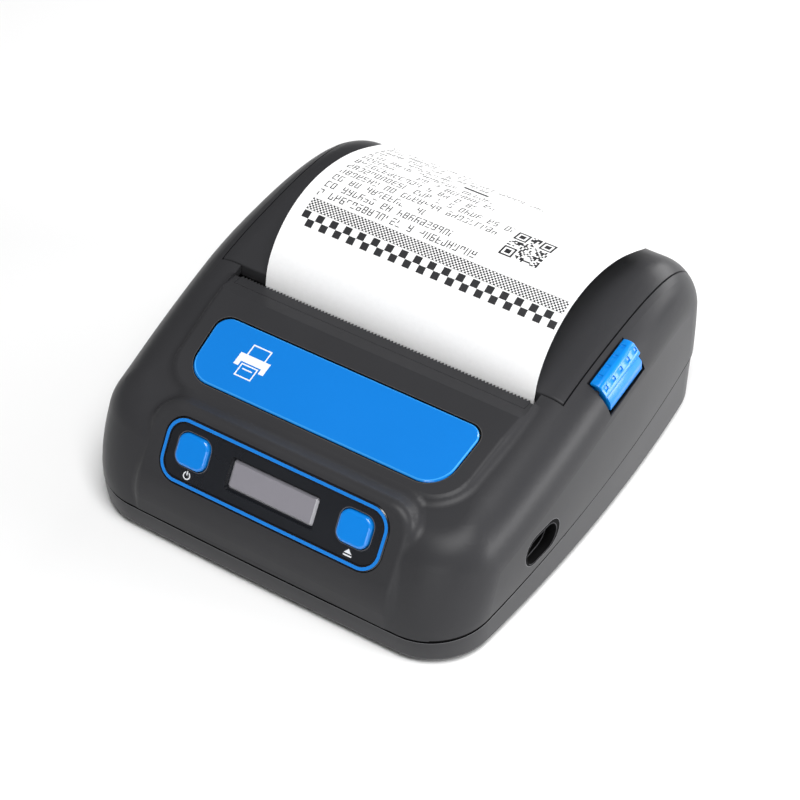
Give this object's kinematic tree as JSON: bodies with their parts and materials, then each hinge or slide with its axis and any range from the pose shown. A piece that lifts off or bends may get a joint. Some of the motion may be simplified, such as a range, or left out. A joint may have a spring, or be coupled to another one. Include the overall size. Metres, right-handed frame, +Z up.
{
  "type": "portable receipt printer",
  "caption": "Portable receipt printer with a hinged roll cover, print roller and gears, sprung keys and release lever, and a paper roll with its printed strip out.",
  "frame": {"origin": "on the resting surface, under the middle of the case", "axes": "+Z up, +Y to the rear where the cover is hinged, +X to the right as seen from the control panel"},
  "size_m": [0.1141, 0.1249, 0.06],
  "materials": {
    "case_dark": "fine matte texture",
    "blue_gloss": "glossy blue",
    "button_blue": "glossy blue",
    "panel_black": "satin near black",
    "lcd_window": "grey screen behind a clear cover",
    "tray_black": "matte",
    "switch_black": "matte",
    "nylon_white": "natural white",
    "board_green": "solder mask",
    "battery_wrap": "shrink sleeve",
    "rubber": "matte",
    "steel": "zinc plated",
    "motor_steel": "plated sheet",
    "aluminium": "satin",
    "ceramic": "glazed",
    "brass": "machined",
    "paper": "coated thermal paper",
    "core_card": "card"
  },
  "bodies": {
    "base": {"upper_case": "case_dark", "bottom_case": "case_dark", "battery_cover": "case_dark", "rubber_feet": "rubber", "case_screws": "steel", "battery_pack": "battery_wrap", "main_board": "board_green", "charge_board": "board_green", "usb_socket": "steel", "panel_ring": "blue_gloss", "control_panel": "panel_black", "display_window": "lcd_window", "lcd_module": "panel_black", "key_board": "board_green", "key_switches": "switch_black", "badge_plate": "blue_gloss", "tear_bar": "case_dark", "latch_pin": "steel", "hinge_rod": "steel", "idler_axle": "steel", "stepper_motor": "motor_steel", "mechanism_frame": "motor_steel", "thermal_head": "ceramic", "head_plate": "aluminium", "head_spring": "steel", "roll_tray": "tray_black", "paper_web": "paper"},
    "lid": {"roll_cover": "case_dark", "platen_bearings": "nylon_white", "paper_tongue": "paper"},
    "latch": {"latch_lever": "blue_gloss"},
    "power_key": {"power_button": "button_blue"},
    "feed_key": {"feed_button": "button_blue"},
    "platen": {"platen_roller": "rubber", "platen_shaft": "steel", "platen_gear": "nylon_white"},
    "idler": {"idler_gear": "nylon_white"},
    "motor_rotor": {"motor_pinion": "brass"},
    "roll": {"paper_roll": "paper", "roll_core": "core_card"}
  },
  "joints": [
    {"name": "lid_hinge", "type": "hinge", "parent": "base", "child": "lid", "pos_m": [0, 0.052, 0.037], "axis": [-1, 0, 0], "range_deg": [0, 85]},
    {"name": "latch_pivot", "type": "hinge", "parent": "base", "child": "latch", "pos_m": [0.0523, 0.01023, 0.04133], "axis": [0, -0.9917, -0.1289], "range_deg": [0, 10], "stiffness_Nm_per_rad": 0.05},
    {"name": "power_press", "type": "slide", "parent": "base", "child": "power_key", "axis": [0, 0.8608, -0.5089], "range_m": [0, 0.0008], "stiffness_N_per_m": 900},
    {"name": "feed_press", "type": "slide", "parent": "base", "child": "feed_key", "axis": [0, 0.8608, -0.5089], "range_m": [0, 0.0008], "stiffness_N_per_m": 900},
    {"name": "platen_spin", "type": "hinge", "parent": "lid", "child": "platen", "pos_m": [0, -0.0024, 0.0355], "axis": [1, 0, 0], "continuous": true},
    {"name": "idler_spin", "type": "hinge", "parent": "base", "child": "idler", "pos_m": [-0.0468, -0.0024, 0.025], "axis": [1, 0, 0], "continuous": true},
    {"name": "motor_spin", "type": "hinge", "parent": "base", "child": "motor_rotor", "pos_m": [-0.0468, -0.00913, 0.01815], "axis": [1, 0, 0], "continuous": true},
    {"name": "roll_spin", "type": "hinge", "parent": "base", "child": "roll", "pos_m": [0.0036, 0.025, 0.0232], "axis": [1, 0, 0], "continuous": true}
  ],
  "couplings": [
    {"joint": "idler_spin", "follows": "platen_spin", "ratio": -0.59091},
    {"joint": "motor_spin", "follows": "platen_spin", "ratio": 1.3}
  ]
}
